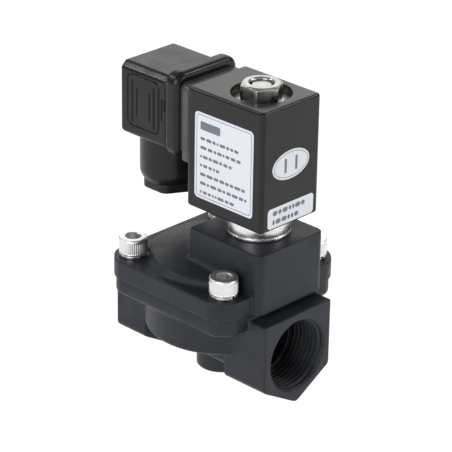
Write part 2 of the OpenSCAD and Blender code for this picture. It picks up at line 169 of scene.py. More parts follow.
def skin(field, low, step):
    """Closed surface where the field is zero.

    Each cell that the surface crosses gets one point, and each crossed edge one quad.
    """
    inside = field < 0
    cells_shape = tuple(n - 1 for n in field.shape)
    held = np.zeros(cells_shape, np.int8)
    for c in CORNERS:
        held += inside[tuple(slice(o, o + n) for o, n in zip(c, cells_shape))]
    active = (held > 0) & (held < 8)
    cells = np.argwhere(active)
    number = np.full(cells_shape, -1, np.int32)
    number[active] = np.arange(len(cells), dtype=np.int32)
    values = np.stack([field[tuple((cells + c).T)] for c in CORNERS], 1)
    total = np.zeros((len(cells), 3))
    hits = np.zeros((len(cells), 1))
    for a, b in EDGES:
        va, vb = values[:, a], values[:, b]
        crossed = (va < 0) != (vb < 0)
        share = np.where(crossed, va / np.where(crossed, va - vb, 1), 0)[:, None]
        total += crossed[:, None] * (CORNERS[a] + share * (CORNERS[b] - CORNERS[a]))
        hits += crossed[:, None]
    points = low + (cells + total / hits) * step
    quads = []
    for axis in range(3):
        u, v = (axis + 1) % 3, (axis + 2) % 3
        span = [slice(1, n) for n in cells_shape]
        span[axis] = slice(0, cells_shape[axis])
        upper = list(span)
        upper[axis] = slice(1, cells_shape[axis] + 1)
        near, far = inside[tuple(span)], inside[tuple(upper)]
        for starts_inside in (True, False):
            at = np.argwhere((near == starts_inside) & (far != starts_inside))
            at += [0 if i == axis else 1 for i in range(3)]
            step_u, step_v = np.eye(3, dtype=int)[u], np.eye(3, dtype=int)[v]
            ring = [at, at - step_u, at - step_u - step_v, at - step_v]
            if not starts_inside:
                ring.reverse()
            quads.append(np.stack([number[tuple(r.T)] for r in ring], 1))
    return points, np.concatenate(quads)


def mesh_of(name, points, faces):
    """Smooth shaded mesh whose faces all have the same number of corners."""
    mesh = bpy.data.meshes.new(name)
    mesh.vertices.add(len(points))
    mesh.vertices.foreach_set("co", np.asarray(points, np.float32).ravel())
    mesh.loops.add(faces.size)
    mesh.loops.foreach_set("vertex_index", faces.astype(np.int32).ravel())
    mesh.polygons.add(len(faces))
    starts = np.arange(0, faces.size, faces.shape[1], dtype=np.int32)
    mesh.polygons.foreach_set("loop_start", starts)
    mesh.update(calc_edges=True)
    mesh.validate()
    mesh.shade_smooth()
    return mesh


def thinned(mesh, name, ratio):
    """The mesh with fewer triangles where it is flat."""
    holder = bpy.data.objects.new(name + "_full", mesh)
    bpy.context.scene.collection.objects.link(holder)
    modifier = holder.modifiers.new("thin", "DECIMATE")
    modifier.ratio = ratio
    graph = bpy.context.evaluated_depsgraph_get()
    made = bpy.data.meshes.new_from_object(holder.evaluated_get(graph), depsgraph=graph)
    bpy.data.objects.remove(holder)
    made.name = name
    made.shade_smooth()
    return made


def grown(name, low, high, step, shape, ratio=0.3, origin=(0, 0, 0)):
    """Mesh of a field inside a box, in metres from the origin, which is in millimetres."""
    low, high = np.array(low, float) - 2 * step, np.array(high, float) + 2 * step
    x, y, z = (np.arange(a, b + step, step, dtype=np.float32) for a, b in zip(low, high))
    field = shape(x[:, None, None], y[None, :, None], z[None, None, :])
    points, quads = skin(np.ascontiguousarray(field, np.float32), low, step)
    mesh = mesh_of(name, (points - np.array(origin)) * MM, quads)
    return thinned(mesh, name, ratio) if ratio < 1 else mesh


def softened(outline, radius, steps=5):
    """Closed outline with each corner replaced by a small arc."""
    made = []
    points = [np.array(p, float) for p in outline]
    for before, corner, after in zip(points[-1:] + points[:-1], points, points[1:] + points[:1]):
        to_before, to_after = before - corner, after - corner
        length_a, length_b = np.linalg.norm(to_before), np.linalg.norm(to_after)
        reach = min(radius, length_a * 0.45, length_b * 0.45)
        start, end = corner + to_before / length_a * reach, corner + to_after / length_b * reach
        for t in np.linspace(0, 1, steps):
            made.append((1 - t) ** 2 * start + 2 * t * (1 - t) * corner + t * t * end)
    return made


def lathe(name, outline, segments=144):
    """Ring shaped solid: a closed outline of (radius, height) turned about Z, in millimetres."""
    outline = np.array(outline)
    count = len(outline)
    turn = np.arange(segments) * 2 * math.pi / segments
    points = np.empty((segments, count, 3))
    points[:, :, 0] = np.cos(turn)[:, None] * outline[:, 0]
    points[:, :, 1] = np.sin(turn)[:, None] * outline[:, 0]
    points[:, :, 2] = outline[:, 1]
    here = np.arange(segments * count).reshape(segments, count)
    ahead = np.roll(here, -1, 0)
    quads = np.stack([here, ahead, np.roll(ahead, -1, 1), np.roll(here, -1, 1)], -1)
    return mesh_of(name, points.reshape(-1, 3) * MM, quads.reshape(-1, 4))


def place(name, mesh, material, body, replaces=(), origin=(0, 0, 0)):
    """Puts a mesh in the scene as a piece that rides on a CAD body."""
    piece = bpy.data.objects.new(name, mesh)
    bpy.context.scene.collection.objects.link(piece)
    piece.location = Vector(origin) * MM
    if not mesh.materials:
        mesh.materials.append(material)
    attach(piece, body)
    if replaces:
        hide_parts(*replaces)
    return piece


# ---- materials ----


class Paint:
    """Small helper that wires one material's nodes."""

    def __init__(self, name):
        self.material = bpy.data.materials.new(name)
        self.material.use_nodes = True
        self.tree = self.material.node_tree
        self.shader = self.tree.nodes["Principled BSDF"]
        self.place = self.add("ShaderNodeTexCoord").outputs["Object"]

    def add(self, kind, **values):
        node = self.tree.nodes.new(kind)
        for key, value in values.items():
            setattr(node, key, value)
        return node

    def link(self, a, b):
        self.tree.links.new(a, b)

    def stretched(self, scale):
        node = self.add("ShaderNodeMapping")
        node.inputs["Scale"].default_value = scale
        self.link(self.place, node.inputs["Vector"])
        return node.outputs["Vector"]

    def noise(self, scale, detail=3.0, vector=None, roughness=0.55):
        node = self.add("ShaderNodeTexNoise")
        node.inputs["Scale"].default_value = scale
        node.inputs["Detail"].default_value = detail
        node.inputs["Roughness"].default_value = roughness
        self.link(vector or self.place, node.inputs["Vector"])
        return node.outputs["Fac"]

    def ramp(self, factor, low, high, start=0.35, end=0.65):
        """Maps a factor to colours (or greys) between low and high."""
        node = self.add("ShaderNodeValToRGB")
        stops = node.color_ramp.elements
        stops[0].position, stops[1].position = start, end
        for stop, value in zip(stops, (low, high)):
            stop.color = (*value, 1) if isinstance(value, tuple) else (value, value, value, 1)
        self.link(factor, node.inputs["Fac"])
        return node.outputs["Color"]

    def drive(self, socket, factor, low, high):
        """Lets a factor move one input of the shader between low and high."""
        self.link(self.ramp(factor, low, high), self.shader.inputs[socket])

    def bump(self, height, distance, strength=1.0):
        node = self.add("ShaderNodeBump")
        node.inputs["Distance"].default_value = distance
        node.inputs["Strength"].default_value = strength
        self.link(height, node.inputs["Height"])
        previous = self.shader.inputs["Normal"].links
        if previous:
            self.link(previous[0].from_socket, node.inputs["Normal"])
        self.link(node.outputs["Normal"], self.shader.inputs["Normal"])

    def set(self, **values):
        for key, value in values.items():
            self.shader.inputs[key.replace("_", " ")].default_value = value


def shade(color, factor):
    return tuple(c * factor for c in color)


def moulded(name, color, rough, grain=2600, depth=0.00002, specular=0.5):
    """Injection moulded plastic: fine grain, faint flow marks and uneven gloss."""
    p = Paint(name)
    p.drive("Base Color", p.noise(45, 4), shade(color, 0.85), shade(color, 1.18))
    p.drive("Roughness", p.noise(120, 5), rough - 0.05, rough + 0.07)
    p.set(Specular_IOR_Level=specular)
    p.bump(p.noise(grain, 2), depth, 0.5)
    p.bump(p.noise(300, 3), 0.00002, 0.3)
    return p.material


def turned(name, color, rough, pitch=0.16):
    """Lathe turned steel: fine rings around Z, on the side and on the ends."""
    p = Paint(name)
    split = p.add("ShaderNodeSeparateXYZ")
    p.link(p.place, split.inputs[0])
    flat = p.add("ShaderNodeCombineXYZ")
    p.link(split.outputs["X"], flat.inputs["X"])
    p.link(split.outputs["Y"], flat.inputs["Y"])
    radius = p.add("ShaderNodeVectorMath", operation="LENGTH")
    p.link(flat.outputs[0], radius.inputs[0])
    rings = p.add("ShaderNodeCombineXYZ")
    p.link(radius.outputs["Value"], rings.inputs["X"])
    p.link(split.outputs["Z"], rings.inputs["Z"])
    lines = p.noise(1 / (pitch * MM), 2, rings.outputs[0])
    p.drive("Base Color", lines, shade(color, 0.82), shade(color, 1.08))
    p.drive("Roughness", p.noise(400, 4), rough - 0.06, rough + 0.1)
    p.set(Metallic=1.0)
    p.bump(lines, 0.00001, 0.35)
    return p.material


def plated(name, color, rough, spots=700):
    """Zinc plated or pressed metal: cloudy, with small pits."""
    p = Paint(name)
    p.drive("Base Color", p.noise(spots, 5), shade(color, 0.8), shade(color, 1.1))
    p.drive("Roughness", p.noise(250, 4), rough - 0.08, rough + 0.12)
    p.set(Metallic=1.0)
    p.bump(p.noise(1500, 3), 0.00001, 0.4)
    return p.material


def rubber(name, color):
    """Dull rubber with a fine uneven skin."""
    p = Paint(name)
    p.drive("Base Color", p.noise(90, 4), shade(color, 0.8), shade(color, 1.3))
    p.drive("Roughness", p.noise(500, 3), 0.6, 0.75)
    p.bump(p.noise(2000, 2), 0.00002, 0.4)
    return p.material


def film(name, color):
    """Label film, slightly glossy and faintly uneven."""
    p = Paint(name)
    p.drive("Base Color", p.noise(60, 3), shade(color, 0.97), shade(color, 1.0))
    p.drive("Roughness", p.noise(300, 3), 0.3, 0.4)
    p.bump(p.noise(1200, 2), 0.00001, 0.3)
    return p.material


BODY_PLASTIC = moulded("body_plastic", (0.0128, 0.0153, 0.0195), 0.45, specular=0.27)
COIL_PLASTIC = moulded(
    "coil_plastic", (0.007, 0.0068, 0.0084), 0.2, grain=1800, depth=0.00001, specular=0.3
)
BASE_PLASTIC = moulded("base_plastic", (0.05, 0.05, 0.053), 0.35)
PLUG_PLASTIC = moulded("plug_plastic", (0.006, 0.006, 0.007), 0.3, grain=2200, specular=0.3)
STEEL = turned("bright_steel", (0.76, 0.76, 0.77), 0.26)
SCREW_STEEL = turned("screw_steel", (0.78, 0.78, 0.79), 0.33)
NUT_STEEL = turned("nut_steel", (0.53, 0.52, 0.5), 0.28)
ZINC = plated("zinc_steel", (0.6, 0.6, 0.6), 0.28)
YELLOW_ZINC = plated("yellow_zinc", (0.78, 0.73, 0.56), 0.42)
BRASS = turned("brass", (0.74, 0.53, 0.25), 0.28)
COPPER = plated("copper_wire", (0.62, 0.28, 0.12), 0.35)
RUBBER = rubber("black_rubber", (0.02, 0.02, 0.021))
NATURAL = moulded("bobbin_plastic", (0.60, 0.56, 0.46), 0.5)
DARK_PLASTIC = moulded("carrier_plastic", (0.05, 0.05, 0.055), 0.45)
WHITE_FILM = film("white_film", (0.61, 0.64, 0.683))
PRINT = film("grey_print", (0.13, 0.14, 0.17))

# ---- camera ----

VIEW_AZIMUTH, VIEW_ELEVATION, VIEW_ROLL = 44.10, 25.24, 0.92
VIEW_DISTANCE = 820 * MM
VIEW_TARGET = Vector((CX, 0, 33.95)) * MM
LENS, SENSOR_WIDTH = 188.6, 36
SHIFT = (0.0064, 0.0156)
CLIP_START, CLIP_END = 0.01, 20


def direction(azimuth, elevation):
    """Unit vector from the valve towards a place; at azimuth 0 that place is on the -Y side."""
    a, e = math.radians(azimuth), math.radians(elevation)
    return Vector((math.sin(a) * math.cos(e), -math.cos(a) * math.cos(e), math.sin(e)))


def make_camera():
    back = direction(VIEW_AZIMUTH, VIEW_ELEVATION)
    data = bpy.data.cameras.new("camera")
    data.lens, data.sensor_width, data.sensor_fit = LENS, SENSOR_WIDTH, "HORIZONTAL"
    data.clip_start, data.clip_end = CLIP_START, CLIP_END
    data.shift_x, data.shift_y = SHIFT
    camera = bpy.data.objects.new("camera", data)
    bpy.context.scene.collection.objects.link(camera)
    camera.location = VIEW_TARGET + back * VIEW_DISTANCE
    turn = back.to_track_quat("Z", "Y")
    camera.rotation_mode = "QUATERNION"
    camera.rotation_quaternion = turn @ Quaternion((0, 0, 1), math.radians(VIEW_ROLL))
    bpy.context.scene.camera = camera


make_camera()

# ---- light and floor ----


def soft_light(name, azimuth, elevation, distance, width, height, radiance):
    """Rectangular lamp aimed at the middle of the valve; its brightness is a radiance."""
    back = direction(azimuth, elevation)
    data = bpy.data.lights.new(name, "AREA")
    data.shape, data.size, data.size_y = "RECTANGLE", width, height
    data.energy = radiance * width * height * math.pi
    lamp = bpy.data.objects.new(name, data)
    bpy.context.scene.collection.objects.link(lamp)
    lamp.location = VIEW_TARGET + back * distance
    lamp.rotation_mode = "QUATERNION"
    lamp.rotation_quaternion = back.to_track_quat("Z", "Y")


FLOOR_HALF = 3.0
FLOOR_GREY, FLOOR_GLOW, WORLD_LIGHT = 0.25, 0.92, 0.3


def make_stage():
    """White floor under the valve, which glows a little, and an even white world."""
    half = FLOOR_HALF
    z = BODY_LOW[2] * MM
    corners = np.array([(-half, -half, z), (half, -half, z), (half, half, z), (-half, half, z)])
    mesh = mesh_of("floor", corners, np.array([[0, 1, 2, 3]]))
    p = Paint("floor_white")
    white = (1, 1, 1, 1)
    grey = (FLOOR_GREY, FLOOR_GREY, FLOOR_GREY, 1)
    p.set(Base_Color=grey, Roughness=0.9, Specular_IOR_Level=0.1)
    p.set(Emission_Color=white, Emission_Strength=FLOOR_GLOW)
    mesh.materials.append(p.material)
    floor = bpy.data.objects.new("floor", mesh)
    bpy.context.scene.collection.objects.link(floor)
    world = bpy.data.worlds.new("studio")
    world.use_nodes = True
    world.node_tree.nodes["Background"].inputs["Color"].default_value = white
    world.node_tree.nodes["Background"].inputs["Strength"].default_value = WORLD_LIGHT
    bpy.context.scene.world = world
    bpy.context.scene.view_settings.view_transform = "Standard"


LAMPS = [
    # name, degrees round from the camera, elevation, distance, width, height, radiance
    ("back", 180, 30, 1.3, 1.5, 0.9, 1.3),
    ("left", -100, 39, 1.2, 0.16, 0.16, 24),
    ("right", 102, 39, 1.2, 0.16, 0.16, 20),
    ("front", -30, 22, 1.2, 0.7, 0.5, 8),
    ("low", 72, 10, 1.2, 0.5, 0.35, 7.5),
]
make_stage()
for name, turn, *rest in LAMPS:
    soft_light(name, VIEW_AZIMUTH + turn, *rest)

# ---- valve body ----

PORT_HALF_WIDTH = 16.3
PORT_TOP = 16.0
PORT_RIDGE = -BODY_LOW[2]
PORT_SLOPE = 30
INLET_LENGTH, OUTLET_LENGTH = 14.5, 19.5
EAR_BOTTOM, EAR_CHAMFER = 12.0, 4.8
EAR_HALF = BODY_HIGH[1]
BOWL_R = 27.0
CHANNEL_END = 13
CHANNEL_HALF_WIDTH, CHANNEL_TOP, CHANNEL_RIDGE = 12.5, 10, 14.5
BOSS_R, BOSS_BOTTOM = 8.7, -16.5
SEAT_TOP, SEAT_BORE_R = 16.7, 10
DIAPHRAGM_SPACE_R = 24
INLET_BORE_R, INLET_BORE = 10, (12, 21)
OUTLET_BORE_R, OUTLET_BORE = 10.2, (CX - 10.3, CX + 24)
# ring chamber round the seat, and how far down it goes on the inlet's side
RING_INNER, RING_OUTER, RING_FLOOR = 12.25, 19.5, 13
FEED_FLOOR, FEED_FROM_MIDDLE = 1.6, 11.5
INSERT_R = 4.2
THREAD_PITCH, THREAD_MINOR, THREAD_MAJOR = 1.814, 12.06, 13.22
THREAD_DEPTH = 13.9
MOUTH_R = 13.6


def port(x, y, z, x0, x1, half, top, ridge, edge):
    """Boss around a port: flat top, upright sides, two slopes that meet in a blunt ridge."""
    slope = math.radians(PORT_SLOPE)
    slopes = np.abs(y) * math.sin(slope) - z * math.cos(slope) - ridge * math.cos(slope)
    outline = both(np.abs(y) - half, z - top, 0.5)
    outline = both(outline, slopes, 1.2)
    outline = both(outline, 0.25 - z - ridge, 0.8)
    return both(outline, slab(x, x0, x1), edge)


def pipe_thread(x, y, z, mouth, inward):
    """Hole with a right handed thread along X and a chamfered mouth."""
    radial = np.sqrt(y * y + z * z)
    phase = (x / THREAD_PITCH - np.arctan2(z, y) / (2 * math.pi)) % 1.0
    wave = np.clip((1 - np.abs(2 * phase - 1) - 0.12) / 0.74, 0, 1)
    depth = (x - mouth) * inward
    wall = THREAD_MINOR + (THREAD_MAJOR - THREAD_MINOR) * wave
    hole = np.maximum((radial - wall) * 0.6, depth - THREAD_DEPTH)
    lead_in = np.maximum((radial + depth - MOUTH_R) * 0.7, depth - 2)
    return np.minimum(hole, lead_in)


def valve_body(x, y, z):
    dx = x - CX
    radial = np.sqrt(dx * dx + y * y)
    ears = chamfered(dx, y, EAR_HALF, EAR_CHAMFER, 1.6)
    ears = both(ears, z - SEAM, 0.25)
    ears = both(ears, EAR_BOTTOM - z, 1.8)
    bowl = both(radial - BOWL_R, slab(z, 0, EAR_BOTTOM + 2), 1.6)
    shape = join(ears, bowl, 1.2)
    sides = PORT_HALF_WIDTH, PORT_TOP, PORT_RIDGE, 0.4
    inlet = port(x, y, z, 0, INLET_LENGTH, *sides)
    outlet = port(x, y, z, LENGTH - OUTLET_LENGTH, LENGTH, *sides)
    narrower = CHANNEL_HALF_WIDTH, CHANNEL_TOP, CHANNEL_RIDGE, 0.4
    channel = port(x, y, z, CHANNEL_END, LENGTH - CHANNEL_END, *narrower)
    boss = both(radial - BOSS_R, slab(z, BOSS_BOTTOM, 2), 0.8)
    shape = join(shape, channel, 1.0)
    shape = join(shape, boss, 0.8)
    shape = join(shape, join(inlet, outlet), 1.0)
    # flow path and diaphragm seat
    shape = np.maximum(shape, -pipe_thread(x, y, z, 0, 1))
    shape = np.maximum(shape, -pipe_thread(x, y, z, LENGTH, -1))
    across = np.sqrt(y * y + z * z)
    shape = cut(shape, both(across - INLET_BORE_R, slab(x, *INLET_BORE)))
    ring = both(radial - RING_OUTER, RING_INNER - radial)
    shape = cut(shape, both(ring, RING_FLOOR - z))
    shape = cut(shape, both(both(ring, FEED_FLOOR - z), x - CX + FEED_FROM_MIDDLE))
    shape = cut(shape, both(radial - SEAT_BORE_R, -z))
    shape = cut(shape, both(across - OUTLET_BORE_R, slab(x, *OUTLET_BORE)))
    shape = cut(shape, both(radial - DIAPHRAGM_SPACE_R, SEAT_TOP - z))
    for sx, sy in SCREW_PLACES:
        shape = cut(shape, both(disc(dx - sx, y - sy, INSERT_R), EAR_BOTTOM - 1 - z))
    return shape


# ---- bonnet ----

DOME_R, DOME_TOP_R, DOME_Z, CROWN_R, CROWN_Z = 26.6, 25.0, 27.6, 13.0, 30.4
BLOCK_LEFT, BLOCK_RIGHT = CX - 0.85, BONNET_HIGH[0]
BLOCK_HALF = 16.0
BLOCK_CORNER_LEFT, BLOCK_CORNER_RIGHT = 1.2, 3.0
FLANGE_CHAMFER = 5.8
POCKET_R, SCREW_HOLE_R = 5.9, 3.3
DOME_SPACE_R, DOME_SPACE_TOP = 20.5, 25.2
SPRING_WELL_R, SPRING_WELL_TOP = 8.2, 27.2
COLLAR_HOLE_R, COLLAR_HOLE_FLOOR = 8.95, 33.5
SEAL_HOLE_R, SEAL_HOLE_DEPTH = 10.1, 1.7
TUBE_HOLE_R, TUBE_HOLE_FLOOR = 6.6, 29.5
# gap between a moulded or turned seat and the end of the spring on it
SPRING_CLEARANCE = 0.1


def bonnet(x, y, z):
    dx = x - CX
    radial = np.sqrt(dx * dx + y * y)
    plate = chamfered(dx, y, FLANGE_HALF, FLANGE_CHAMFER, 2.0)
    flange = both(plate, slab(z, SEAM, FLANGE_TOP), 0.45)
    wall = cone(radial, z, DOME_R, FLANGE_TOP, DOME_TOP_R, DOME_Z)
    crown = cone(radial, z, DOME_TOP_R, DOME_Z, CROWN_R, CROWN_Z)
    dome = both(both(wall, crown, 0.4), slab(z, FLANGE_TOP - 0.6, CROWN_Z))
    mid = (BLOCK_LEFT + BLOCK_RIGHT) / 2
    corner = np.where(x < mid, BLOCK_CORNER_LEFT, BLOCK_CORNER_RIGHT)
    block = rect(x - mid, y, (BLOCK_RIGHT - BLOCK_LEFT) / 2, BLOCK_HALF, corner)
    block = both(block, slab(z, SEAM, BLOCK_TOP), 0.5)
    shape = join(dome, block, 1.6)
    for sx, sy in SCREW_PLACES:
        pocket = both(disc(dx - sx, y - sy, POCKET_R), FLANGE_TOP - 1 - z)
        shape = cut(shape, pocket, 0.5)
    shape = join(shape, flange, 0.5)
    for sx, sy in SCREW_PLACES:
        shape = cut(shape, disc(dx - sx, y - sy, SCREW_HOLE_R))
    shape = cut(shape, both(radial - DOME_SPACE_R, z - DOME_SPACE_TOP))
    shape = cut(shape, both(radial - SPRING_WELL_R, z - SPRING_WELL_TOP - SPRING_CLEARANCE))
    tube = disc(x - TUBE_X, y, 0)
    shape = cut(shape, both(tube - COLLAR_HOLE_R, COLLAR_HOLE_FLOOR - z))
    shape = cut(shape, both(tube - SEAL_HOLE_R, BLOCK_TOP - SEAL_HOLE_DEPTH - z))
    return cut(shape, both(tube - TUBE_HOLE_R, TUBE_HOLE_FLOOR - z))


# ---- coil, terminal base and plug ----

COIL_X, COIL_HALF_X = (COIL_LOW[0] + COIL_HIGH[0]) / 2, (COIL_HIGH[0] - COIL_LOW[0]) / 2
COIL_HALF_Y = COIL_HIGH[1]
COIL_BOTTOM, COIL_TOP = COIL_LOW[2], COIL_HIGH[2]
COIL_CORNER, COIL_EDGE = 1.5, 1.1
COIL_SIDE_WALL, COIL_END_WALL, YOKE_GAP = 1.2, 1.9, 0.5
RECESS_R, RECESS_DEPTH = 10.3, 6
TUBE_PASSAGE_R, TUBE_PASSAGE_DEPTH = 6.5, 5
PLUG_LEFT, PLUG_RIGHT = PLUG_LOW[0], PLUG_HIGH[0]
PLUG_HALF_Y, PLUG_HALF_Z = 13.6, 13.25
PLUG_BEVEL = 2.2
ROLL_LENGTH, ROLL_MID = 6.5, PLUG_Z + 0.5
BARREL_R, BARREL_BOTTOM, BARREL_BEVEL = 11.1, PLUG_LOW[2], 2.4
CABLE_R = 4.5
# blades: near and far face from the plug's axis, half width, and ends along X
BLADE_NEAR, BLADE_FAR, BLADE_HALF = 8.6, 9.4, 3.15
BLADE_ENDS = (COIL_LOW[0] - 16, COIL_LOW[0] - 1)
BASE_CORNER, BASE_HOLE_R, BASE_HOLE_DEPTH = 2, 1.5, 0.6
GASKET_HALF_Y, GASKET_HALF_Z, GASKET_CORNER, GASKET_HOLE_R = 13.1, 12.8, 2.4, 2
GASKET_SLOT_GAP = 0.3
CONTACTS_HALF_Y, CONTACTS_HALF_Z, CONTACTS_WALL = 11.6, 11.25, 3
GLAND_BORE_R, GLAND_BORE_LENGTH = 7.6, 29
PLUG_HOLE_R, PLUG_HOLE_DEPTH = 1.7, 9
HEAD_HOLE_R, HEAD_HOLE_DEPTH = 3.6, 2.4


def coil_housing(x, y, z):
    outside = rect(x - COIL_X, y, COIL_HALF_X, COIL_HALF_Y, COIL_CORNER)
    shape = both(outside, slab(z, COIL_BOTTOM, COIL_TOP), COIL_EDGE)
    along_x = slab(x, YOKE_LOW[0] - YOKE_GAP, COIL_HIGH[0] - COIL_END_WALL)
    hollow = both(along_x, np.abs(y) - COIL_HALF_Y + COIL_SIDE_WALL)
    shape = cut(shape, both(hollow, slab(z, YOKE_LOW[2], YOKE_HIGH[2])))
    tube = disc(x - TUBE_X, y, 0)
    shape = cut(shape, both(tube - RECESS_R, COIL_TOP - RECESS_DEPTH - z), 0.35)
    return cut(shape, both(tube - TUBE_PASSAGE_R, z - COIL_BOTTOM - TUBE_PASSAGE_DEPTH))


def blades(x, y, z, gap):
    """Slots for the two upright blades and the earth blade."""
    across = slab(np.abs(y), BLADE_NEAR - gap, BLADE_FAR + gap)
    slots = both(across, np.abs(z - PLUG_Z) - BLADE_HALF - gap)
    upright = slab(z, PLUG_Z - BLADE_FAR - gap, PLUG_Z - BLADE_NEAR + gap)
    earth = both(np.abs(y) - BLADE_HALF - gap, upright)
    return both(join(slots, earth), slab(x, *BLADE_ENDS))


def terminal_base(x, y, z):
    middle, half = (BASE_LOW[2] + BASE_HIGH[2]) / 2, (BASE_HIGH[2] - BASE_LOW[2]) / 2
    outside = rect(y, z - middle, BASE_HIGH[1], half, BASE_CORNER)
    shape = both(outside, slab(x, BASE_LOW[0], BASE_HIGH[0]), 0.3)
    shape = cut(shape, blades(x, y, z, 0))
    hole = disc(y, z - PLUG_Z, BASE_HOLE_R)
    return cut(shape, both(hole, x - BASE_HIGH[0] + BASE_HOLE_DEPTH))


def plug_gasket(x, y, z):
    outside = rect(y, z - PLUG_Z, GASKET_HALF_Y, GASKET_HALF_Z, GASKET_CORNER)
    shape = both(outside, slab(x, PLUG_RIGHT, BASE_LOW[0]), 0.3)
    shape = cut(shape, blades(x, y, z, GASKET_SLOT_GAP))
    return cut(shape, disc(y, z - PLUG_Z, GASKET_HOLE_R))


# upright lines pressed into the sides of the plug: place along X, low end, high end, half width
PLUG_GROOVES = [
    (5.5, 70.8, 85.3, 0.36),
    (7.7, 73.3, 82.8, 0.36),
    (13.75, 73.3, 82.8, 0.36),
    (15.95, 70.8, 85.3, 0.36),
]
LATCH_LINES = [(19.85, 74.9, 82.3, 0.4), (21.1, 78.8, 82.5, 0.25)]
FRAME_MID = (10.72, 78.5)
FRAME_HALF, FRAME_CORNER, FRAME_LINE = (7.6, 9.4), 2.2, 0.26
MARK_DEPTH = 0.45


def stroke(x, z, at, low, high, half):
    """Upright line with round ends."""
    return np.sqrt((x - at) ** 2 + (z - np.clip(z, low, high)) ** 2) - half


def plug_marks(x, z):
    """Pattern on the side of the plug: a rounded frame, four grooves and the latch."""
    frame_line = rect(x - FRAME_MID[0], z - FRAME_MID[1], *FRAME_HALF, FRAME_CORNER)
    marks = np.abs(frame_line) - FRAME_LINE
    for line in PLUG_GROOVES + LATCH_LINES:
        marks = join(marks, stroke(x, z, *line))
    return marks


def plug_housing(x, y, z):
    rise = z - PLUG_Z
    section = rect(y, rise, PLUG_HALF_Y, PLUG_HALF_Z, 2.0)
    slant = (np.abs(y) + rise - PLUG_HALF_Y - PLUG_HALF_Z + PLUG_BEVEL) / math.sqrt(2)
    section = both(section, slant, 0.5)
    box = both(section, slab(x, PLUG_LEFT, PLUG_RIGHT), 1.5)
    marks = both(plug_marks(x, z), PLUG_HALF_Y - MARK_DEPTH - np.abs(y))
    box = cut(box, marks)
    seam_x = PLUG_RIGHT - ROLL_LENGTH
    seam = both(slab(x, seam_x - 0.3, seam_x + 0.2), -section - 0.35)
    box = cut(box, seam)
    roll = rect(y, z - ROLL_MID, PLUG_HIGH[1], PLUG_HIGH[2] - ROLL_MID, 4.5)
    roll = both(roll, slab(x, PLUG_RIGHT - ROLL_LENGTH, PLUG_RIGHT), 2.3)
    shape = join(box, roll)
    barrel = disc(x - GLAND_X, y, 0)
    bevel = cone(barrel, z, BARREL_R - 1.1, BARREL_BOTTOM, BARREL_R, BARREL_BOTTOM + BARREL_BEVEL)
    stem = both(both(barrel - BARREL_R, bevel, 0.4), slab(z, BARREL_BOTTOM, PLUG_Z), 0.4)
    shape = join(shape, stem, 0.6)
    contacts = rect(y, rise, CONTACTS_HALF_Y, CONTACTS_HALF_Z, 1.5)
    shape = cut(shape, both(contacts, PLUG_LEFT + CONTACTS_WALL - x))
    shape = cut(shape, both(barrel - GLAND_BORE_R, z - BARREL_BOTTOM - GLAND_BORE_LENGTH))
    hole = disc(y, rise, 0)
    shape = cut(shape, both(hole - PLUG_HOLE_R, x - PLUG_LEFT - PLUG_HOLE_DEPTH))
    return cut(shape, both(hole - HEAD_HOLE_R, x - PLUG_LEFT - HEAD_HOLE_DEPTH), 0.3)


GLAND_ACROSS, GLAND_R, GLAND_NECK_R = 18.0, 9.8, 7.5


def gland_nut(x, y, z):
    """Cable gland nut about its own axis: six blunt flats, grip and a funnel for the cable."""
    radial = disc(x, y, 0)
    low, flats_top = GLAND_LOW[2], BARREL_BOTTOM - 0.1
    head = both(hexagon(y, x, GLAND_ACROSS, 0.6), radial - GLAND_R, 0.4)
    head = both(head, slab(z, low, flats_top), 0.4)
    neck = both(radial - GLAND_NECK_R, slab(z, low + 0.5, GLAND_HIGH[2]))
    shape = join(head, neck)
    funnel = both(radial - CABLE_R - np.maximum(low + 1.7 - z, 0), z - low - 2)
    return cut(cut(shape, radial - CABLE_R), funnel)


# ---- screws, nut and stud ----

SCREW_SEAT, HEAD_TOP = SPRING_WASHERS_HIGH[2], SCREWS_HIGH[2]
KNURL_COUNT, KNURL_DEPTH = 44, 0.2
SHANK_TOP_DEPTH, SCREW_R = 4, 3
SOCKET_ACROSS, SOCKET_DEPTH, SOCKET_MOUTH_R = 5.02, 3.2, 2.85
WASHER_OUTER, WASHER_INNER = 4.9, 3.05
NUT_ACROSS, NUT_R, NUT_BORE_R = 13.0, 7.6, 4.04
CORE_R = 6


def cover_screw(x, y, z):
    """Socket head cap screw about its own axis, with a knurled head."""
    radial = disc(x, y, 0)
    knurl = KNURL_DEPTH * (0.5 - 0.5 * np.cos(KNURL_COUNT * np.arctan2(y, x)))
    band = np.clip((HEAD_TOP - 1.1 - z) / 0.3, 0, 1) * np.clip((z - SCREW_SEAT - 0.6) / 0.3, 0, 1)
    head = both(radial - HEAD_R + knurl * band, slab(z, SCREW_SEAT, HEAD_TOP), 0.5)
    shank = both(radial - SCREW_R, slab(z, SCREWS_LOW[2], HEAD_TOP - SHANK_TOP_DEPTH), 0.3)
    shape = join(head, shank)
    shape = cut(shape, both(hexagon(y, x, SOCKET_ACROSS), HEAD_TOP - SOCKET_DEPTH - z), 0.2)
    return cut(shape, (radial - SOCKET_MOUTH_R - z + HEAD_TOP) / math.sqrt(2))


def spring_washer(x, y, z):
    """Split ring; the cut runs at a slant."""
    radial = disc(x, y, 0)
    ring = both(radial - WASHER_OUTER, WASHER_INNER - radial)
    ring = both(ring, slab(z, FLANGE_TOP, SCREW_SEAT), 0.2)
    split = both(np.abs(y + (z - FLANGE_TOP - 0.6) * 0.5) - 0.3, -x)
    return cut(ring, split, 0.1)


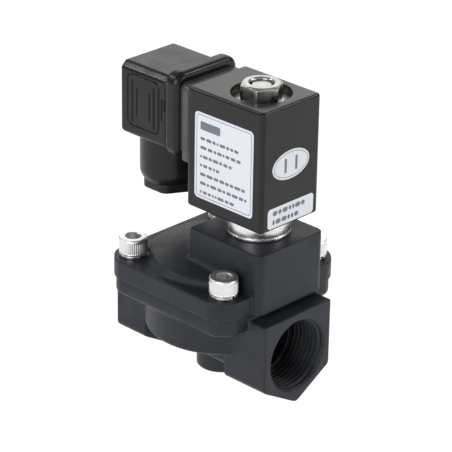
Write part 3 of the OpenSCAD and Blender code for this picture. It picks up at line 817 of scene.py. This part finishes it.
def coil_nut(x, y, z):
    """Hexagon nut about its own axis, crowned on top."""
    radial = disc(x, y, 0)
    low, high = NUT_LOW[2], NUT_HIGH[2]
    shape = both(hexagon(y, x, NUT_ACROSS, 0.25), slab(z, low, high), 0.12)
    shape = both(shape, cone(radial, z, NUT_R, high - 0.85, NUT_R - 1.5, high), 0.15)
    shape = both(shape, cone(radial, -z, NUT_R, -low - 0.4, NUT_R - 0.7, -low), 0.15)
    bore = join(radial - NUT_BORE_R, cone(radial, -z, 4.6, -high, 3.9, -high + 0.7))
    return cut(shape, bore)


STUD_R, STUD_PITCH, STUD_THREAD = 4.0, 1.25, 0.55
STUD_THREAD_START, CORE_TOP = 87.5, 86


def fixed_core(x, y, z):
    """Core that closes the tube, its threaded stud on top, about the tube's axis."""
    radial = disc(x, y, 0)
    phase = (z / STUD_PITCH - np.arctan2(y, x) / (2 * math.pi)) % 1.0
    groove = STUD_THREAD * np.abs(2 * phase - 1) * np.clip((z - STUD_THREAD_START) / 0.5, 0, 1)
    top = CORE_HIGH[2]
    stud = both((radial - STUD_R + groove) * 0.75, slab(z, CORE_TOP - 1, top))
    stud = both(stud, cone(radial, z, STUD_R, top - 0.8, STUD_R - 0.8, top), 0.1)
    core = both(radial - CORE_R, slab(z, CORE_LOW[2] + SPRING_CLEARANCE, CORE_TOP), 0.3)
    ring = both(both(radial - 4.6, 3.6 - radial), z - CORE_LOW[2] - 1.2)
    return join(cut(core, ring), stud)


def plug_screw(x, y, z):
    """Pan head screw along X, through the whole plug."""
    radial = disc(y, z - PLUG_Z, 0)
    head = both(radial - 2.8, slab(x, PLUG_LEFT - 0.4, PLUG_LEFT + 1), 0.35)
    head = cut(head, both(np.abs(y) - 0.4, x - PLUG_LEFT - 0.35))
    return join(head, both(radial - 1.5, slab(x, PLUG_LEFT, PLUG_SCREW_HIGH[0]), 0.2))


def along(places):
    """Turns plain (x, y) places into places about the valve's middle."""
    return [(CX + sx, sy, 0) for sx, sy in places]


draft = 1.0
SOLIDS = [
    # name, field, box, voxel, kept share, material, body, slot, CAD node
    ("body_casting", valve_body, (BODY_LOW, BODY_HIGH), 0.32, 0.35, BODY_PLASTIC, "valve",
     "valve_plastic", "valve_body"),
    ("bonnet_casting", bonnet, (BONNET_LOW, BONNET_HIGH), 0.3, 0.4, BODY_PLASTIC, "valve",
     "valve_plastic", "bonnet"),
    ("coil_moulding", coil_housing, (COIL_LOW, COIL_HIGH), 0.28, 0.4, COIL_PLASTIC, "coil_unit",
     "coil_plastic", "coil_housing"),
    ("terminal_block", terminal_base, (BASE_LOW, BASE_HIGH), 0.2, 0.6, BASE_PLASTIC, "coil_unit",
     "coil_plastic", "terminal_base"),
    ("flat_gasket", plug_gasket, (GASKET_LOW, GASKET_HIGH), 0.15, 0.5, RUBBER, "coil_unit",
     "rubber", "plug_gasket"),
    ("plug_moulding", plug_housing, (PLUG_LOW, PLUG_HIGH), 0.2, 0.35, PLUG_PLASTIC, "coil_unit",
     "plug_plastic", "plug_housing"),
    ("plug_long_screw", plug_screw, (PLUG_SCREW_LOW, PLUG_SCREW_HIGH), 0.12, 0.6, ZINC, "coil_unit",
     "steel", "plug_screw"),
]
for name, field, (low, high), voxel, share, material, body, slot, node in SOLIDS:
    mesh = grown(name, low, high, voxel * draft, field, share)
    place(name, mesh, material, body, [node])


def about(radius, low, high):
    """Box around a round piece that stands on its own axis."""
    return (-radius, -radius, low), (radius, radius, high)


screw_box = about(HEAD_R, SCREWS_LOW[2], HEAD_TOP)
screw_mesh = grown("cap_screw", *screw_box, 0.12 * draft, cover_screw, 0.6)
washer_box = about(WASHER_OUTER, FLANGE_TOP, SCREW_SEAT)
washer_mesh = grown("split_washer", *washer_box, 0.12 * draft, spring_washer, 0.8)
for count, centre in enumerate(along(SCREW_PLACES), 1):
    place(f"cap_screw_{count}", screw_mesh, SCREW_STEEL, "valve", ["cover_screws"], centre)
    place(f"split_washer_{count}", washer_mesh, ZINC, "valve", ["screw_washers"], centre)

tube_axis = (TUBE_X, 0, 0)
nut_mesh = grown("hexagon_nut", *about(7.5, NUT_LOW[2], NUT_HIGH[2]), 0.12 * draft, coil_nut, 0.7)
place("hexagon_nut", nut_mesh, NUT_STEEL, "valve", ["coil_nut"], tube_axis)
core_box = about(CORE_R, CORE_LOW[2], CORE_HIGH[2])
core_mesh = grown("core_stud", *core_box, 0.14 * draft, fixed_core, 0.6)
place("core_stud", core_mesh, NUT_STEEL, "valve", ["fixed_core"], tube_axis)
gland_box = about(GLAND_R, GLAND_LOW[2], GLAND_HIGH[2])
gland_mesh = grown("gland_grip_nut", *gland_box, 0.15 * draft, gland_nut, 0.6)
place("gland_grip_nut", gland_mesh, PLUG_PLASTIC, "coil_unit", ["gland_nut"],
      (GLAND_X, 0, 0))

COLLAR_R, SHANK_R, TUBE_R = 11.15, 8.9, 6.42
FLAT_WASHER_R, FLAT_WASHER_HOLE_R = 7.6, STUD_R + 0.2
collar_outline = [
    (SHANK_R, COLLAR_LOW[2]),
    (SHANK_R, BLOCK_TOP),
    (COLLAR_R - 0.3, BLOCK_TOP),
    (COLLAR_R, BLOCK_TOP + 0.3),
    (COLLAR_R, BLOCK_TOP + 1.15),
    (COLLAR_R - 0.25, BLOCK_TOP + 1.3),
    (COLLAR_R - 0.25, BLOCK_TOP + 1.5),
    (COLLAR_R, BLOCK_TOP + 1.65),
    (COLLAR_R, COLLAR_HIGH[2] - 0.7),
    (COLLAR_R - 0.7, COLLAR_HIGH[2]),
    (TUBE_R, COLLAR_HIGH[2]),
    (TUBE_R, COLLAR_LOW[2]),
]
place("turned_collar", lathe("turned_collar", softened(collar_outline, 0.15)), STEEL, "valve",
      ["tube_collar"], tube_axis)
flat_outline = [
    (FLAT_WASHER_HOLE_R, WASHER_LOW[2]),
    (FLAT_WASHER_R, WASHER_LOW[2]),
    (FLAT_WASHER_R, WASHER_HIGH[2]),
    (FLAT_WASHER_HOLE_R, WASHER_HIGH[2]),
]
place("flat_washer", lathe("flat_washer", softened(flat_outline, 0.25)), ZINC, "valve",
      ["coil_washer"], tube_axis)

# ---- labels: white film with a thin border and plain ruled strokes ----


def rounded_outline(half_u, half_v, corner, steps=8):
    """Points around a rounded rectangle, counterclockwise."""
    points = []
    for quarter, (su, sv) in enumerate([(1, 1), (-1, 1), (-1, -1), (1, -1)]):
        for t in np.linspace(0, math.pi / 2, steps):
            a = t + quarter * math.pi / 2
            u = su * (half_u - corner) + corner * math.cos(a)
            points.append((u, sv * (half_v - corner) + corner * math.sin(a)))
    return np.array(points)


def oval_outline(half_u, half_v, steps=72):
    turn = np.arange(steps) * 2 * math.pi / steps
    return np.stack([half_u * np.cos(turn), half_v * np.sin(turn)], 1)


class Sheet:
    """Collects flat prisms on a face of the coil, film first, then ink."""

    def __init__(self, centre, right, out):
        self.centre, self.right, self.out = (np.array(v, float) for v in (centre, right, out))
        self.points, self.faces, self.inks = [], [], []

    def spot(self, uv, height):
        up = np.array((0, 0, 1.0))
        for u, v in uv:
            self.points.append(self.centre + self.right * u + up * v + self.out * height)

    def add(self, outline, low, high, ink, shift=(0, 0)):
        start, count = len(self.points), len(outline)
        self.spot(outline + np.array(shift), low)
        self.spot(outline + np.array(shift), high)
        under = list(range(start, start + count))
        over = [i + count for i in under]
        self.faces += [under[::-1], over]
        for i in range(count):
            j = (i + 1) % count
            self.faces.append([under[i], under[j], over[j], over[i]])
        self.inks += [ink] * (count + 2)

    def ring(self, outer, inner, low, high, ink):
        start, count = len(self.points), len(outer)
        for loop, height in ((outer, low), (outer, high), (inner, high), (inner, low)):
            self.spot(loop, height)
        for level in range(4):
            here, ahead = start + level * count, start + (level + 1) % 4 * count
            for i in range(count):
                j = (i + 1) % count
                self.faces.append([here + i, here + j, ahead + j, ahead + i])
        self.inks += [ink] * (4 * count)

    def piece(self, name, node):
        mesh = bpy.data.meshes.new(name)
        mesh.from_pydata([tuple(p * MM) for p in self.points], [], self.faces)
        mesh.materials.append(WHITE_FILM)
        mesh.materials.append(PRINT)
        mesh.polygons.foreach_set("material_index", self.inks)
        mesh.update()
        place(name, mesh, WHITE_FILM, "coil_unit", [node])


FILM_T, INK_T = 0.12, 0.02
INK_TOP = FILM_T + INK_T
STROKE_LENGTHS, STROKE_GAPS = (0.8, 3.0), (0.35, 0.6)
ROW_FILLS = (0.8, 0.86, 0.66, 0.45, 0.94, 0.98, 0.72)
FIRST_ROW, ROW_PITCH, ROW_HEIGHT = 9.3, 3.25, 1.1


def strokes(sheet, rng, left, right, v, height, fill):
    """A row of short round-ended strokes of uneven length."""
    u = left
    end = left + (right - left) * fill
    while u < end - height:
        length = min(rng.uniform(*STROKE_LENGTHS), end - u)
        bar = rounded_outline(length / 2, height / 2, height * 0.4, 3)
        sheet.add(bar, FILM_T, INK_TOP, 1, (u + length / 2, v))
        u += length + rng.uniform(*STROKE_GAPS)


def type_label(rng):
    """Large label on the -Y face: border, heading bar and rows of strokes."""
    low, high = extent("type_label")
    half_u, half_v = (high[0] - low[0]) / 2, (high[2] - low[2]) / 2
    middle = ((low[0] + high[0]) / 2, -COIL_HALF_Y, (low[2] + high[2]) / 2)
    sheet = Sheet(middle, (1, 0, 0), (0, -1, 0))
    sheet.add(rounded_outline(half_u, half_v, 1.6), 0, FILM_T, 0)
    border = rounded_outline(half_u - 0.8, half_v - 0.8, 1.2)
    inner = rounded_outline(half_u - 1.02, half_v - 1.02, 1.0)
    sheet.ring(border, inner, FILM_T - 0.01, INK_TOP, 1)
    heading = rounded_outline(4.6, 1.5, 0.5, 4)
    sheet.add(heading, FILM_T, INK_TOP, 1, (-half_u + 7.2, half_v - 4.6))
    for row, fill in enumerate(ROW_FILLS):
        v = half_v - FIRST_ROW - row * ROW_PITCH
        strokes(sheet, rng, -half_u + 2.6, half_u - 2.2, v, ROW_HEIGHT, fill)
    sheet.piece("type_sheet", "type_label")


def sheet_on_end(node):
    """Empty sheet on the +X face where a label sits, and half its width and height."""
    low, high = extent(node)
    middle = (COIL_HIGH[0], (low[1] + high[1]) / 2, (low[2] + high[2]) / 2)
    sheet = Sheet(middle, (0, 1, 0), (1, 0, 0))
    return sheet, (high[1] - low[1]) / 2, (high[2] - low[2]) / 2


def oval_label():
    """Upright oval with a border and two plain bars."""
    sheet, half_u, half_v = sheet_on_end("oval_label")
    half_v = half_v - 0.15
    sheet.add(oval_outline(half_u, half_v), 0, FILM_T, 0)
    border = oval_outline(half_u - 0.7, half_v - 0.7)
    inner = oval_outline(half_u - 0.9, half_v - 0.9)
    sheet.ring(border, inner, FILM_T - 0.01, INK_TOP, 1)
    for u in (-2.6, 2.6):
        sheet.add(rounded_outline(0.55, 2.6, 0.4, 4), FILM_T, INK_TOP, 1, (u, 0))
    sheet.piece("oval_sheet", "oval_label")


def lower_label(rng):
    """Small label with two rows of strokes."""
    sheet, half_u, half_v = sheet_on_end("lower_label")
    sheet.add(rounded_outline(half_u, half_v, 1.3), 0, FILM_T, 0)
    for v, fill in ((1.6, 0.95), (-1.6, 0.7)):
        strokes(sheet, rng, -half_u + 2.4, half_u - 2, v, 1.7, fill)
    sheet.piece("lower_sheet", "lower_label")


stroke_lengths = np.random.default_rng(7)
type_label(stroke_lengths)
oval_label()
lower_label(stroke_lengths)

# ---- plain CAD nodes that keep their shape ----

KEPT = {
    "screw_inserts": BRASS,
    "pilot_seat": BRASS,
    "tube_seal": RUBBER,
    "core_tube": STEEL,
    "shading_ring": COPPER,
    "plunger": STEEL,
    "plunger_seal": RUBBER,
    "plunger_spring": STEEL,
    "diaphragm": RUBBER,
    "diaphragm_plate": STEEL,
    "diaphragm_washer": STEEL,
    "diaphragm_bolt": STEEL,
    "diaphragm_nut": STEEL,
    "main_spring": STEEL,
    "coil_bobbin": NATURAL,
    "coil_winding": COPPER,
    "yoke": YELLOW_ZINC,
    "terminal_blades": ZINC,
    "terminal_carrier": DARK_PLASTIC,
    "screw_seal": RUBBER,
    "gland_seal": RUBBER,
    "gland_washer": ZINC,
}
for node, material in KEPT.items():
    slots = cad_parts[node].material_slots
    for slot in slots:
        slot.material = material

# ---- update the scene ----

bpy.context.view_layer.update()
